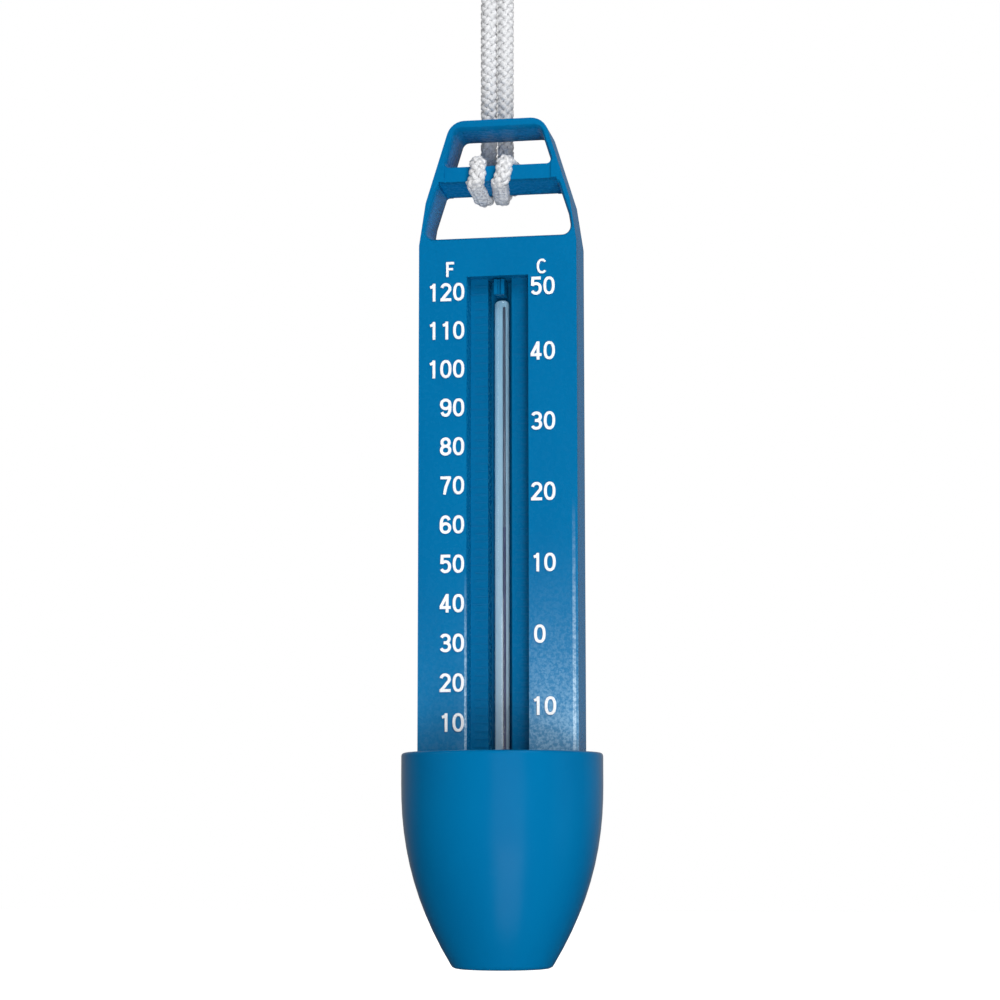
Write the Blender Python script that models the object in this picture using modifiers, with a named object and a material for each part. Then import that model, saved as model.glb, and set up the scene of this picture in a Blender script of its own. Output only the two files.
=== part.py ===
"""Floating pool thermometer: a scale plate with a carrying handle, a spirit thermometer in its recess,
a water cup round the bulb, and the looped cord that it hangs from.

Metres, +Z up, the scale faces -Y. Heights below are measured from the cup's flat base; the root empty
then moves the whole assembly down, so that the world origin is the centre of the handle's crossbar.
"""
import math

import bmesh
import bpy
from mathutils import Vector

MM = 0.001
GAP = 0.3 * MM                     # clearance kept between touching pieces

# Scale: height of a Fahrenheit mark above the cup's base
SCALE_ZERO = 54.3 * MM
SCALE_STEP = 1.065 * MM            # one degree Fahrenheit
READING = 60                       # degrees shown at rest

# Plate and handle
PLATE_HALF_W = 21.8 * MM
PLATE_HALF_T = 7.0 * MM
HANDLE_TOP = 230.0 * MM
HANDLE_TOP_HALF_W = 12.9 * MM      # where the sloping side would meet the top
HANDLE_FOOT = 201.4 * MM           # where the sloping side would meet the straight one
HANDLE_WALL = 1.9 * MM
HANDLE_ROOF = 2.6 * MM             # thickness over the upper window
RIM_BEVEL = 1.0 * MM               # rounding round the plate's front and back edges
WINDOW_FLARE = 0.8 * MM            # rounding of the windows' front edges: how wide, and how deep
WINDOW_FLARE_DEEP = 2.6 * MM
SILL = 197.3 * MM                  # bottom of the lower window
BAR_BOTTOM = 212.4 * MM
BAR_TOP = 217.4 * MM
BAR_HALF_T = 6.5 * MM
BAR_SLOPE = 0.6 * MM               # rise of its underside towards the front, and fall towards the back
BAR_HEIGHT = (BAR_BOTTOM + BAR_TOP) / 2
STEM_HALF_W = 7.0 * MM             # foot of the plate, which stands in the cup
STEM_BOTTOM = 10.9 * MM
SHOULDER = 31.0 * MM
SHOULDER_TOP = 45.0 * MM

# Recess for the tube
RECESS_TOP = 186.2 * MM
RECESS_BOTTOM = 38.0 * MM
RECESS_HALF_W = 8.5 * MM           # at the plate's face; the walls lean in towards the floor
RECESS_DRAFT = 0.12                # sideways lean of a wall for its depth
RECESS_FLOOR = -3.0 * MM
GROOVE_HALF_W = 3.25 * MM
GROOVE_FLOOR = 2.4 * MM

# Float pockets, rear cover and its gasket
POCKET_TOP = 185.5 * MM
POCKET_BOTTOM = 56.0 * MM
POCKET_IN = 5.0 * MM
POCKET_STEP = 10.4 * MM
POCKET_OUT = 17.6 * MM
POCKET_SHALLOW = -1.2 * MM
POCKET_DEEP = -5.2 * MM
LEDGE = 4.0 * MM
COVER_HALF_W = 19.4 * MM
COVER_TOP = 194.5 * MM
COVER_BOTTOM = 47.5 * MM
COVER_INNER = 5.2 * MM
GASKET_THICK = 0.6 * MM
GASKET_WIDTH = 1.4 * MM
COVER_SCREW_X = 15.5 * MM
COVER_SCREW_ZS = (190.2 * MM, 51.6 * MM)
COVER_SCREW_R = 0.9 * MM
COVER_HEAD_R = 2.2 * MM
COVER_HEAD_THICK = 1.0 * MM
COVER_SCREW_TIP = -1.0 * MM

# Cup, ballast and the screw that holds them
CUP_RIM = 57.0 * MM
CUP_R = 27.1 * MM
CUP_BASE_R = 13.1 * MM
CUP_BOWL = 49.0 * MM               # height where the bowl meets the straight wall
CUP_CURVE = 2.2                    # power of the bowl's curve
CUP_WALL = 1.8 * MM
CUP_FLOOR = 4.8 * MM
CUP_FILLET = 1.1 * MM
FILLET_STEPS = ((0.45 * MM, 0.45 * MM), (1.2 * MM, 0.1 * MM), (1.9 * MM, 0))     # inwards, and up
HEAD_WELL_R = 4.3 * MM
HEAD_WELL = 3.0 * MM
SCREW_R = 1.5 * MM
SCREW_HEAD_R = 3.4 * MM
SCREW_HEAD = 1.5 * MM
SCREW_TIP = 24.0 * MM
SLOT_HALF_W = 0.35 * MM            # crossed slots in the screw heads
SEAL_THICK = 0.6 * MM
BALLAST_R = 12.6 * MM
BALLAST_THICK = 3.6 * MM
FALSE_FLOOR_R = 14.6 * MM
FALSE_FLOOR_THICK = 1.3 * MM

# Thermometer tube and the spirit in it
TUBE_R = 2.05 * MM
TUBE_TOP = 181.2 * MM
TUBE_BOTTOM = 40.8 * MM
BORE_R = 0.75 * MM
TIP_R = 0.4 * MM                   # hole at the tip, melted shut on the real tube
BULB_R = 1.45 * MM
BULB_TOP = 52.0 * MM
SPIRIT_R = 0.45 * MM
MENISCUS = 0.8 * MM
CLIP_HALF_W = 1.5 * MM
CLIP_FRONT = -4.6 * MM
CLIP_GROOVE = (0.45 * MM, 0.7 * MM)     # half width and depth of the groove down its front
LOWER_CLIP = (53.6 * MM, 56.6 * MM)

# Cord, hitched round the crossbar and rising to its knot
CORD_R = 1.9 * MM
CORD_SIDES = 2                     # bevel resolution
KNOT_BOTTOM = 276.8 * MM
KNOT_R = 8.0 * MM
KNOT_ROUND = 3.6 * MM              # rounding of the knot's top and bottom
KNOT_BODY = 14.5 * MM
KNOT_TAILS = 10.0 * MM
TAILS_R = 4.2 * MM
HITCH_X = -2.75 * MM               # middle of the two rising strands
CORD_BACK = 9.4 * MM

# The route of each leg, from the middle of the hitch's bight up to the knot, in millimetres
LEFT_ROUTE = (
    (-3.1, 13.9, 215.6), (-5.3, 13.8, 215.6), (-7.7, 12.9, 215.8), (-9.2, 10.9, 216.4), (-9.2, 9.0, 217.9),
    (-8.3, 6.4, 219.7), (-6.9, 1.0, 219.6), (-5.7, -4.4, 219.65), (-5.4, -7.9, 219.0), (-5.4, -8.8, 216.5),
    (-5.4, -8.8, 213.6), (-5.7, -8.1, 211.5), (-5.9, -5.6, 210.75), (-5.8, 0.0, 210.3), (-5.6, 5.6, 209.6),
    (-5.4, 8.4, 210.5), (-5.3, 9.4, 213.3), (-5.3, 9.5, 219.0), (-5.25, 9.5, 230.0), (-5.2, 9.45, 245.0),
    (-5.2, 9.4, 262.0), (-5.1, 9.4, 276.5))
RIGHT_ROUTE = (
    (-2.7, 13.9, 215.6), (-0.5, 13.8, 215.6), (1.9, 12.9, 215.8), (3.45, 10.9, 216.4), (3.45, 9.0, 217.9),
    (3.0, 6.4, 219.7), (2.6, 1.0, 219.6), (2.3, -4.4, 219.65), (2.1, -7.9, 219.0), (2.0, -8.8, 216.5),
    (1.6, -8.8, 213.6), (1.3, -8.1, 211.5), (1.0, -5.6, 210.75), (0.5, 0.0, 210.3), (-0.1, 5.6, 209.6),
    (-0.4, 8.4, 210.5), (-0.5, 9.4, 213.3), (-0.5, 9.5, 219.0), (-0.5, 9.5, 230.0), (-0.5, 9.45, 245.0),
    (-0.45, 9.4, 262.0), (-0.4, 9.4, 276.5))

BLUE = (0.003, 0.165, 0.400)
CORNER_STEP = math.radians(12)     # one segment of a rounded corner


def scale_height(fahrenheit):
    """Height of a temperature above the cup's base."""
    return SCALE_ZERO + SCALE_STEP * fahrenheit


# ---------------------------------------------------------------- scene and helpers

def clear_scene():
    for obj in list(bpy.data.objects):
        bpy.data.objects.remove(obj, do_unlink=True)
    for name in ("floating_thermometer", "cutters"):
        old = bpy.data.collections.get(name)
        if old:
            bpy.data.collections.remove(old)


def collection(name):
    made = bpy.data.collections.new(name)
    bpy.context.scene.collection.children.link(made)
    return made


clear_scene()
PARTS = collection("floating_thermometer")
CUTTERS = collection("cutters")
ROOT = bpy.data.objects.new("thermometer_root", None)
ROOT.location = (0, 0, -BAR_HEIGHT)
PARTS.objects.link(ROOT)


def finish(obj, colour, roughness, metallic=0.0):
    """Give the piece its own material and hang it on the root."""
    material = bpy.data.materials.new(obj.name)
    material.use_nodes = True
    shader = material.node_tree.nodes["Principled BSDF"]
    shader.inputs["Base Color"].default_value = (*colour, 1)
    shader.inputs["Roughness"].default_value = roughness
    shader.inputs["Metallic"].default_value = metallic
    material.diffuse_color = (*colour, 1)
    obj.data.materials.clear()
    obj.data.materials.append(material)
    obj.parent = ROOT
    return obj


def object_from_bmesh(name, bm, target):
    mesh = bpy.data.meshes.new(name)
    bm.to_mesh(mesh)
    bm.free()
    obj = bpy.data.objects.new(name, mesh)
    target.objects.link(obj)
    if target is CUTTERS:
        obj.hide_render = True
        obj.display_type = "WIRE"
        obj.parent = ROOT
    return obj


def box(name, low, high, target=CUTTERS):
    bm = bmesh.new()
    bmesh.ops.create_cube(bm, size=1)
    centre = [(a + b) / 2 for a, b in zip(low, high)]
    size = [b - a for a, b in zip(low, high)]
    bmesh.ops.scale(bm, vec=size, verts=bm.verts)
    bmesh.ops.translate(bm, vec=centre, verts=bm.verts)
    return object_from_bmesh(name, bm, target)


def peg(name, radius, start, end, target=CUTTERS, sides=24):
    """A cylinder between two points."""
    start, end = Vector(start), Vector(end)
    bm = bmesh.new()
    bmesh.ops.create_cone(bm, cap_ends=True, segments=sides, radius1=radius, radius2=radius,
                          depth=(end - start).length)
    turn = Vector((0, 0, 1)).rotation_difference(end - start).to_matrix()
    bmesh.ops.rotate(bm, matrix=turn, verts=bm.verts)
    bmesh.ops.translate(bm, vec=(start + end) / 2, verts=bm.verts)
    return object_from_bmesh(name, bm, target)


def rounded(corners):
    """Points of a closed outline whose corners (x, y, radius) are arcs."""
    points = []
    count = len(corners)
    for i, (x, y, radius) in enumerate(corners):
        here = Vector((x, y))
        before = (Vector(corners[i - 1][:2]) - here).normalized()
        after = (Vector(corners[(i + 1) % count][:2]) - here).normalized()
        turn = math.pi - before.angle(after)
        if radius == 0 or turn < 0.01:
            points.append((x, y))
            continue
        tangent = radius * math.tan(turn / 2)
        middle = here + (before + after).normalized() * (radius / math.cos(turn / 2))
        first = (here + before * tangent - middle).normalized()
        last = (here + after * tangent - middle).normalized()
        steps = max(1, round(turn / CORNER_STEP))
        points += [tuple(middle + first.slerp(last, k / steps) * radius) for k in range(steps + 1)]
    return points


def extruded(name, outlines, low, high, along, target=CUTTERS):
    """A flat outline, with any holes in it, extruded along Z, or along Y when its points are (x, z)."""
    curve = bpy.data.curves.new(name, "CURVE")
    curve.dimensions = "2D"
    curve.fill_mode = "BOTH"
    curve.extrude = (high - low) / 2
    for outline in outlines:
        spline = curve.splines.new("POLY")
        spline.points.add(len(outline) - 1)
        for point, (x, y) in zip(spline.points, outline):
            point.co = (x, y, 0, 1)
        spline.use_cyclic_u = True
    guide = bpy.data.objects.new(name + "_curve", curve)
    bpy.context.scene.collection.objects.link(guide)
    if along == "Y":
        guide.rotation_euler.x = math.pi / 2
        guide.location.y = (low + high) / 2
    else:
        guide.location.z = (low + high) / 2
    bpy.context.view_layer.update()
    evaluated = guide.evaluated_get(bpy.context.evaluated_depsgraph_get())
    mesh = bpy.data.meshes.new_from_object(evaluated)
    mesh.transform(guide.matrix_world)
    bpy.data.objects.remove(guide)
    bm = bmesh.new()
    bm.from_mesh(mesh)
    bpy.data.meshes.remove(mesh)
    bmesh.ops.remove_doubles(bm, verts=bm.verts, dist=0.00001)
    bmesh.ops.recalc_face_normals(bm, faces=bm.faces)
    return object_from_bmesh(name, bm, target)


def lofted(name, rings):
    """A cutter through outlines of (x, z) points, given as pairs of Y and outline."""
    bm = bmesh.new()
    loops = [[bm.verts.new((x, y, z)) for x, z in outline] for y, outline in rings]
    for near, far in zip(loops, loops[1:]):
        for i in range(len(near)):
            bm.faces.new((near[i - 1], near[i], far[i], far[i - 1]))
    bm.faces.new(loops[0])
    bm.faces.new(loops[-1])
    bmesh.ops.recalc_face_normals(bm, faces=bm.faces)
    return object_from_bmesh(name, bm, CUTTERS)


def turned(name, profile, steps, closed, target=PARTS):
    """A profile of (radius, height) points, run down its outer side, turned about Z."""
    bm = bmesh.new()
    verts = [bm.verts.new((r, 0, z)) for r, z in profile]
    pairs = list(zip(verts, verts[1:]))
    if closed:
        pairs.append((verts[-1], verts[0]))
    for pair in pairs:
        bm.edges.new(pair)
    obj = object_from_bmesh(name, bm, target)
    screw = obj.modifiers.new("turn", "SCREW")
    screw.steps = screw.render_steps = steps
    screw.use_merge_vertices = True
    screw.merge_threshold = 0.00001
    screw.use_smooth_shade = True
    return obj


def cut(obj, *cutters):
    for cutter in cutters:
        boolean = obj.modifiers.new(cutter.name, "BOOLEAN")
        boolean.operation = "DIFFERENCE"
        boolean.solver = "EXACT"
        boolean.object = cutter
    return obj


def bevel(obj, width, segments=2, angle=35):
    modifier = obj.modifiers.new("bevel", "BEVEL")
    modifier.width = width
    modifier.segments = segments
    modifier.limit_method = "ANGLE"
    modifier.angle_limit = math.radians(angle)
    return obj


def mirrored(half):
    """Close a right-hand outline, listed bottom to top, with its mirror image."""
    return list(half) + [(-x, *rest) for x, *rest in reversed(half)]


def smooth_route(points, per_span):
    """A Catmull-Rom curve through the route's points."""
    ends = [points[0] * 2 - points[1], *points, points[-1] * 2 - points[-2]]
    route = []
    for a, b, c, d in zip(ends, ends[1:], ends[2:], ends[3:]):
        spans = per_span if (c - b).length < 6 * MM else per_span + 1
        for k in range(spans):
            t = k / spans
            route.append(0.5 * (2 * b + (c - a) * t + (2 * a - 5 * b + 4 * c - d) * t * t
                                + (3 * b - a - 3 * c + d) * t * t * t))
    route.append(points[-1])
    return route


# ---------------------------------------------------------------- casing

def handle_side(height, inset=0.0):
    """Half width of the handle's sloping side at a height."""
    slope = (PLATE_HALF_W - HANDLE_TOP_HALF_W) / (HANDLE_TOP - HANDLE_FOOT)
    return HANDLE_TOP_HALF_W + (HANDLE_TOP - height) * slope - inset * math.hypot(1, slope)


def scale_body():
    """Scale plate, handle hoop, crossbar and the stem in the cup, moulded in one."""
    outline = rounded(mirrored((
        (STEM_HALF_W, STEM_BOTTOM, 1.5 * MM), (STEM_HALF_W, SHOULDER, 3 * MM),
        (PLATE_HALF_W, SHOULDER_TOP, 3 * MM),
        (PLATE_HALF_W, HANDLE_FOOT, 40 * MM), (HANDLE_TOP_HALF_W, HANDLE_TOP, 5 * MM))))
    body = extruded("scale_body", [outline], -PLATE_HALF_T, PLATE_HALF_T, "Y", PARTS)
    bevel(body, RIM_BEVEL, 3)

    past = PLATE_HALF_T + 2 * MM
    bar_half_w = handle_side(BAR_TOP, HANDLE_WALL)
    bar_low, bar_high = BAR_BOTTOM - BAR_SLOPE - MM, BAR_TOP + MM
    cut(body,
        window("upper_window", upper_outline), window("lower_window", lower_outline),
        box("bar_front", (-bar_half_w, -past, bar_low), (bar_half_w, -BAR_HALF_T, bar_high)),
        box("bar_back", (-bar_half_w, BAR_HALF_T, bar_low), (bar_half_w, past, bar_high)),
        bar_underside(), tube_recess(), float_pocket(1), float_pocket(-1), cover_seat(),
        peg("cup_screw_hole", SCREW_R + GAP, (0, 0, 0), (0, 0, SCREW_TIP + MM)))
    for number, (x, z) in enumerate(cover_screw_places(), 1):
        deepest = COVER_SCREW_TIP - 0.5 * MM
        cut(body, peg(f"body_hole_{number}", COVER_SCREW_R + GAP, (x, deepest, z), (x, past, z)))
    return finish(body, BLUE, 0.38)


def upper_outline(flare):
    """Window over the crossbar, widened all round by the flare."""
    top, wall = HANDLE_TOP - HANDLE_ROOF + flare, HANDLE_WALL - flare
    return rounded(mirrored((
        (handle_side(BAR_TOP - flare, wall), BAR_TOP - flare, 1.0 * MM + flare),
        (handle_side(top, wall), top, 2.0 * MM + flare))))


def lower_outline(flare):
    """Window under the crossbar, widened all round by the flare."""
    top, wall = BAR_BOTTOM - BAR_SLOPE + flare, HANDLE_WALL - flare
    return rounded(mirrored((
        (PLATE_HALF_W - wall, SILL - flare, 2.2 * MM + flare), (PLATE_HALF_W - wall, HANDLE_FOOT, 9 * MM),
        (handle_side(top, wall), top, 1.0 * MM + flare))))


def window(name, outline):
    """Opening through the handle, its front edge rounded over."""
    past = PLATE_HALF_T + 2 * MM
    rings = [(-past, outline(WINDOW_FLARE))]
    for angle in (90, 60, 30, 0):
        a = math.radians(angle)
        y = -PLATE_HALF_T + WINDOW_FLARE_DEEP * (1 - math.sin(a))
        rings.append((y, outline(WINDOW_FLARE * (1 - math.cos(a)))))
    return lofted(name, rings + [(past, outline(0))])


def bar_underside():
    """Wedge that makes the crossbar's underside rise from its back edge to its front one."""
    half_w = handle_side(BAR_BOTTOM, HANDLE_WALL)
    low, high = (-half_w, -BAR_HALF_T - MM, BAR_BOTTOM - MM), (half_w, BAR_HALF_T, BAR_BOTTOM)
    wedge = box("bar_underside", low, high)
    for vertex in wedge.data.vertices:
        if vertex.co.z > BAR_BOTTOM - MM / 2:
            vertex.co.z = BAR_BOTTOM - BAR_SLOPE * vertex.co.y / BAR_HALF_T
        else:
            vertex.co.z = BAR_BOTTOM - BAR_SLOPE - MM
    return wedge


def tube_recess():
    """The wide recess beside the tube and the deeper groove that the tube lies in."""
    front = -PLATE_HALF_T - 2 * MM
    lean = [RECESS_HALF_W + RECESS_DRAFT * (-PLATE_HALF_T - y) for y in (RECESS_FLOOR, front)]
    profile = mirrored((
        (GROOVE_HALF_W, GROOVE_FLOOR), (GROOVE_HALF_W, RECESS_FLOOR),
        (lean[0], RECESS_FLOOR), (lean[1], front)))
    return extruded("tube_recess", [profile], RECESS_BOTTOM, RECESS_TOP, "Z")


def pocket_profile(side, inset):
    """Section of the hollow beside the recess, whose floor steps back behind it."""
    return [(side * x, y) for x, y in (
        (POCKET_IN + inset, POCKET_SHALLOW + inset), (POCKET_STEP + inset, POCKET_SHALLOW + inset),
        (POCKET_STEP + inset, POCKET_DEEP + inset), (POCKET_OUT - inset, POCKET_DEEP + inset),
        (POCKET_OUT - inset, LEDGE + MM - inset), (POCKET_IN + inset, LEDGE + MM - inset))]


def float_pocket(side):
    name = "pocket_right" if side > 0 else "pocket_left"
    return extruded(name, [pocket_profile(side, 0)], POCKET_BOTTOM, POCKET_TOP, "Z")


def float_block(side):
    """Closed-cell foam float that fills one pocket."""
    name = "float_right" if side > 0 else "float_left"
    profile = pocket_profile(side, 2 * GAP)
    block = extruded(name, [profile], POCKET_BOTTOM + 2 * GAP, POCKET_TOP - 2 * GAP, "Z", PARTS)
    return finish(block, (0.85, 0.85, 0.83), 0.9)


def rectangle(half_w, low, high, radius):
    return rounded(mirrored(((half_w, low, radius), (half_w, high, radius))))


def cover_seat():
    outline = rectangle(COVER_HALF_W + GAP, COVER_BOTTOM - GAP, COVER_TOP + GAP, 2 * MM)
    return extruded("cover_seat", [outline], LEDGE, PLATE_HALF_T + 2 * MM, "Y")


def cover_screw_places():
    return [(side * COVER_SCREW_X, z) for z in COVER_SCREW_ZS for side in (-1, 1)]


def rear_cover():
    """Flat lid over the float pockets, with counterbores for its screws."""
    outline = rectangle(COVER_HALF_W, COVER_BOTTOM, COVER_TOP, 2 * MM)
    cover = extruded("rear_cover", [outline], COVER_INNER, PLATE_HALF_T, "Y", PARTS)
    bevel(cover, 0.4 * MM, 2)
    seat = PLATE_HALF_T - COVER_HEAD_THICK - 0.4 * MM
    for number, (x, z) in enumerate(cover_screw_places(), 1):
        cut(cover,
            peg(f"cover_hole_{number}", COVER_SCREW_R + GAP, (x, 0, z), (x, 0.01, z)),
            peg(f"cover_well_{number}", COVER_HEAD_R + GAP, (x, seat, z), (x, 0.01, z)))
    return finish(cover, BLUE, 0.45)


def cover_gasket():
    """Rubber ring between the cover and its ledge."""
    margin = GASKET_WIDTH + GAP
    outer = rectangle(POCKET_OUT + margin, POCKET_BOTTOM - margin, POCKET_TOP + margin, 1.6 * MM)
    inner = rectangle(POCKET_OUT + GAP, POCKET_BOTTOM - GAP, POCKET_TOP + GAP, 0.6 * MM)
    low = LEDGE + GAP
    gasket = extruded("cover_gasket", [outer, inner], low, low + GASKET_THICK, "Y", PARTS)
    return finish(gasket, (0.02, 0.02, 0.02), 0.7)


def cross_slot(name, centre, width, depth, outward):
    """Two crossed slots sunk into a screw head."""
    x, y, z = centre
    thin = SLOT_HALF_W
    if outward == "Y":
        low, high = y - depth, y + MM
        return (box(name + "_a", (x - width, low, z - thin), (x + width, high, z + thin)),
                box(name + "_b", (x - thin, low, z - width), (x + thin, high, z + width)))
    low, high = z - MM, z + depth
    return (box(name + "_a", (x - width, y - thin, low), (x + width, y + thin, high)),
            box(name + "_b", (x - thin, y - width, low), (x + thin, y + width, high)))


def cover_screw(number, x, z):
    """Pan-head screw, turned about its own axis and laid along Y."""
    top = PLATE_HALF_T - 0.1 * MM
    head = top - COVER_HEAD_THICK
    profile = ((0, top), (COVER_HEAD_R * 0.7, top), (COVER_HEAD_R, top - 0.4 * MM), (COVER_HEAD_R, head),
               (COVER_SCREW_R, head), (COVER_SCREW_R, COVER_SCREW_TIP + MM), (0, COVER_SCREW_TIP))
    screw = turned(f"cover_screw_{number}", profile, 16, False)
    screw.location = (x, 0, z)
    screw.rotation_euler.x = -math.pi / 2
    cut(screw, *cross_slot(f"cover_slot_{number}", (x, top, z), 1.1 * MM, 0.6 * MM, "Y"))
    return finish(screw, (0.55, 0.55, 0.54), 0.3, 1.0)


# ---------------------------------------------------------------- cup and ballast

def cup_outer(height):
    """Outer radius: straight at the top, drawn in below."""
    drop = max(0.0, CUP_BOWL - height) / CUP_BOWL
    return CUP_R - (CUP_R - CUP_BASE_R) * drop ** CUP_CURVE


def cup_inner(height):
    drop = max(0.0, CUP_BOWL - height) / CUP_BOWL
    slope = CUP_CURVE * (CUP_R - CUP_BASE_R) * drop ** (CUP_CURVE - 1) / CUP_BOWL
    return cup_outer(height) - CUP_WALL * math.hypot(1, slope)


def arc(cx, cz, radius, start, end, steps):
    """Points (x, z) round part of a circle."""
    angles = [math.radians(start + (end - start) * k / steps) for k in range(steps + 1)]
    return [(cx + radius * math.cos(a), cz + radius * math.sin(a)) for a in angles]


def cup():
    """Open cup that keeps water round the bulb, with a screw well under its floor."""
    half_wall = CUP_WALL / 2
    rim = arc(CUP_R - half_wall, CUP_RIM - half_wall, half_wall, 180, 0, 6)
    bowl = 11
    heights = [CUP_BOWL + (CUP_FILLET - CUP_BOWL) * k / bowl for k in range(bowl + 1)]
    outside = [(cup_outer(z), z) for z in heights]
    low_r = cup_outer(CUP_FILLET)
    fillet = [(low_r - inward, z) for inward, z in FILLET_STEPS]
    bore = SCREW_R + GAP
    well = [(HEAD_WELL_R, 0), (HEAD_WELL_R, HEAD_WELL), (bore, HEAD_WELL), (bore, CUP_FLOOR)]
    steps = 9
    inner_heights = [CUP_FLOOR + (CUP_BOWL - CUP_FLOOR) * k / steps for k in range(steps + 1)]
    inside = [(cup_inner(z), z) for z in inner_heights]
    profile = rim + outside + fillet + well + inside
    return finish(turned("cup", profile, 48, True), BLUE, 0.3)


def washer(name, outer, inner, low, high, steps, colour, roughness, metallic=0.0):
    profile = ((inner, high), (outer, high), (outer, low), (inner, low))
    return finish(turned(name, profile, steps, True), colour, roughness, metallic)


def ballast():
    low = CUP_FLOOR + GAP
    bore = SCREW_R + GAP
    washer("ballast_disc", BALLAST_R, bore, low, low + BALLAST_THICK, 32, (0.45, 0.45, 0.44), 0.4, 1.0)
    low += BALLAST_THICK + GAP
    washer("ballast_cap", FALSE_FLOOR_R, bore, low, low + FALSE_FLOOR_THICK, 32, BLUE, 0.45)
    top = HEAD_WELL - GAP
    washer("screw_seal", SCREW_HEAD_R, bore, top - SEAL_THICK, top, 24, (0.02, 0.02, 0.02), 0.7)


def cup_screw():
    """Screw from under the cup, through the ballast, into the plate's stem."""
    head_top = HEAD_WELL - 2 * GAP - SEAL_THICK
    low = head_top - SCREW_HEAD
    profile = ((0, SCREW_TIP), (SCREW_R, SCREW_TIP - 1.5 * MM), (SCREW_R, head_top), (SCREW_HEAD_R, head_top),
               (SCREW_HEAD_R, low + 0.5 * MM), (SCREW_HEAD_R * 0.75, low), (0, low))
    screw = turned("cup_screw", profile, 24, False)
    cut(screw, *cross_slot("cup_slot", (0, 0, low), 1.7 * MM, 0.9 * MM, "Z"))
    return finish(screw, (0.55, 0.55, 0.54), 0.3, 1.0)


# ---------------------------------------------------------------- thermometer

def glass_tube():
    """Sealed stem with its bulb drawn to the same diameter, and a fine bore."""
    inside = [(0, TUBE_BOTTOM + MM), (BULB_R * 0.75, TUBE_BOTTOM + 1.3 * MM), (BULB_R, TUBE_BOTTOM + 2 * MM),
              (BULB_R, BULB_TOP - MM), (BORE_R, BULB_TOP), (BORE_R, TUBE_TOP - 1.5 * MM),
              (TIP_R, TUBE_TOP - 0.8 * MM)]
    outside = [(TIP_R, TUBE_TOP), (TUBE_R * 0.7, TUBE_TOP), (TUBE_R, TUBE_TOP - 0.9 * MM),
               (TUBE_R, TUBE_BOTTOM + 1.2 * MM), (TUBE_R * 0.7, TUBE_BOTTOM + 0.3 * MM), (0, TUBE_BOTTOM)]
    return finish(turned("glass_tube", inside + outside, 24, False), (0.78, 0.78, 0.74), 0.08)


def rod(name, radius, low, high, colour):
    profile = ((0, high), (radius, high), (radius, low), (0, low))
    return finish(turned(name, profile, 12, False), colour, 0.25)


def spirit():
    """Dyed spirit: the bulb's fill, the column and the meniscus that rises and falls with it."""
    red = (0.22, 0.010, 0.012)
    level = scale_height(READING)
    rod("spirit_fill", BULB_R - GAP - 0.05 * MM, TUBE_BOTTOM + 2.1 * MM, BULB_TOP - 1.2 * MM, red)
    rod("spirit_column", SPIRIT_R, BULB_TOP - 0.5 * MM, level - MENISCUS - GAP, red)
    rod("spirit_meniscus", SPIRIT_R, -MENISCUS, 0, red).location.z = level


def top_clip():
    """Grooved nib that holds the tube down in its groove."""
    low = TUBE_TOP + GAP
    high = RECESS_TOP - GAP
    back = GROOVE_FLOOR - GAP
    half_w, depth = CLIP_GROOVE
    clip = box("top_clip", (-CLIP_HALF_W, CLIP_FRONT, low), (CLIP_HALF_W, back, high), PARTS)
    groove_low, groove_high = (-half_w, CLIP_FRONT - MM, low - MM), (half_w, CLIP_FRONT + depth, high + MM)
    cut(clip, box("clip_groove", groove_low, groove_high))
    bevel(clip, 0.15 * MM, 1)
    return finish(clip, BLUE, 0.4)


def lower_clip():
    """U-shaped clip in front of the tube, just inside the cup's mouth."""
    inner = TUBE_R + GAP
    outer = GROOVE_HALF_W - GAP
    back = GROOVE_FLOOR - 2 * GAP
    profile = [(-outer, back), (-outer, -outer), (outer, -outer), (outer, back),
               (inner, back), (inner, -inner), (-inner, -inner), (-inner, back)]
    clip = extruded("lower_clip", [profile], *LOWER_CLIP, "Z", PARTS)
    return finish(clip, (0.75, 0.75, 0.72), 0.5)


# ---------------------------------------------------------------- cord

def cord_leg(name, route):
    """Tube along one leg of the cord; its points come from a smooth curve through the route."""
    points = smooth_route([Vector(p) * MM for p in route], 2)
    curve = bpy.data.curves.new(name, "CURVE")
    curve.dimensions = "3D"
    curve.bevel_depth = CORD_R
    curve.bevel_resolution = CORD_SIDES
    curve.use_fill_caps = True
    spline = curve.splines.new("POLY")
    spline.points.add(len(points) - 1)
    for slot, point in zip(spline.points, points):
        slot.co = (*point, 1)
    leg = bpy.data.objects.new(name, curve)
    PARTS.objects.link(leg)
    return finish(leg, (0.80, 0.80, 0.80), 0.85)


def cord_knot():
    """Outer shape of the overhand knot that joins the legs, with its tails above it."""
    top = KNOT_BOTTOM + KNOT_BODY
    round_top = arc(KNOT_R - KNOT_ROUND, top - KNOT_ROUND, KNOT_ROUND, 90, 0, 4)
    round_foot = arc(KNOT_R - KNOT_ROUND, KNOT_BOTTOM + KNOT_ROUND, KNOT_ROUND, 0, -90, 4)
    tails = [(0, top + KNOT_TAILS), (TAILS_R - MM, top + KNOT_TAILS), (TAILS_R, top + KNOT_TAILS - MM),
             (TAILS_R, top)]
    profile = tails + round_top + round_foot + [(0, KNOT_BOTTOM)]
    knot = turned("cord_knot", profile, 20, False)
    knot.location = (HITCH_X, CORD_BACK, 0)
    return finish(knot, (0.80, 0.80, 0.80), 0.85)


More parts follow.
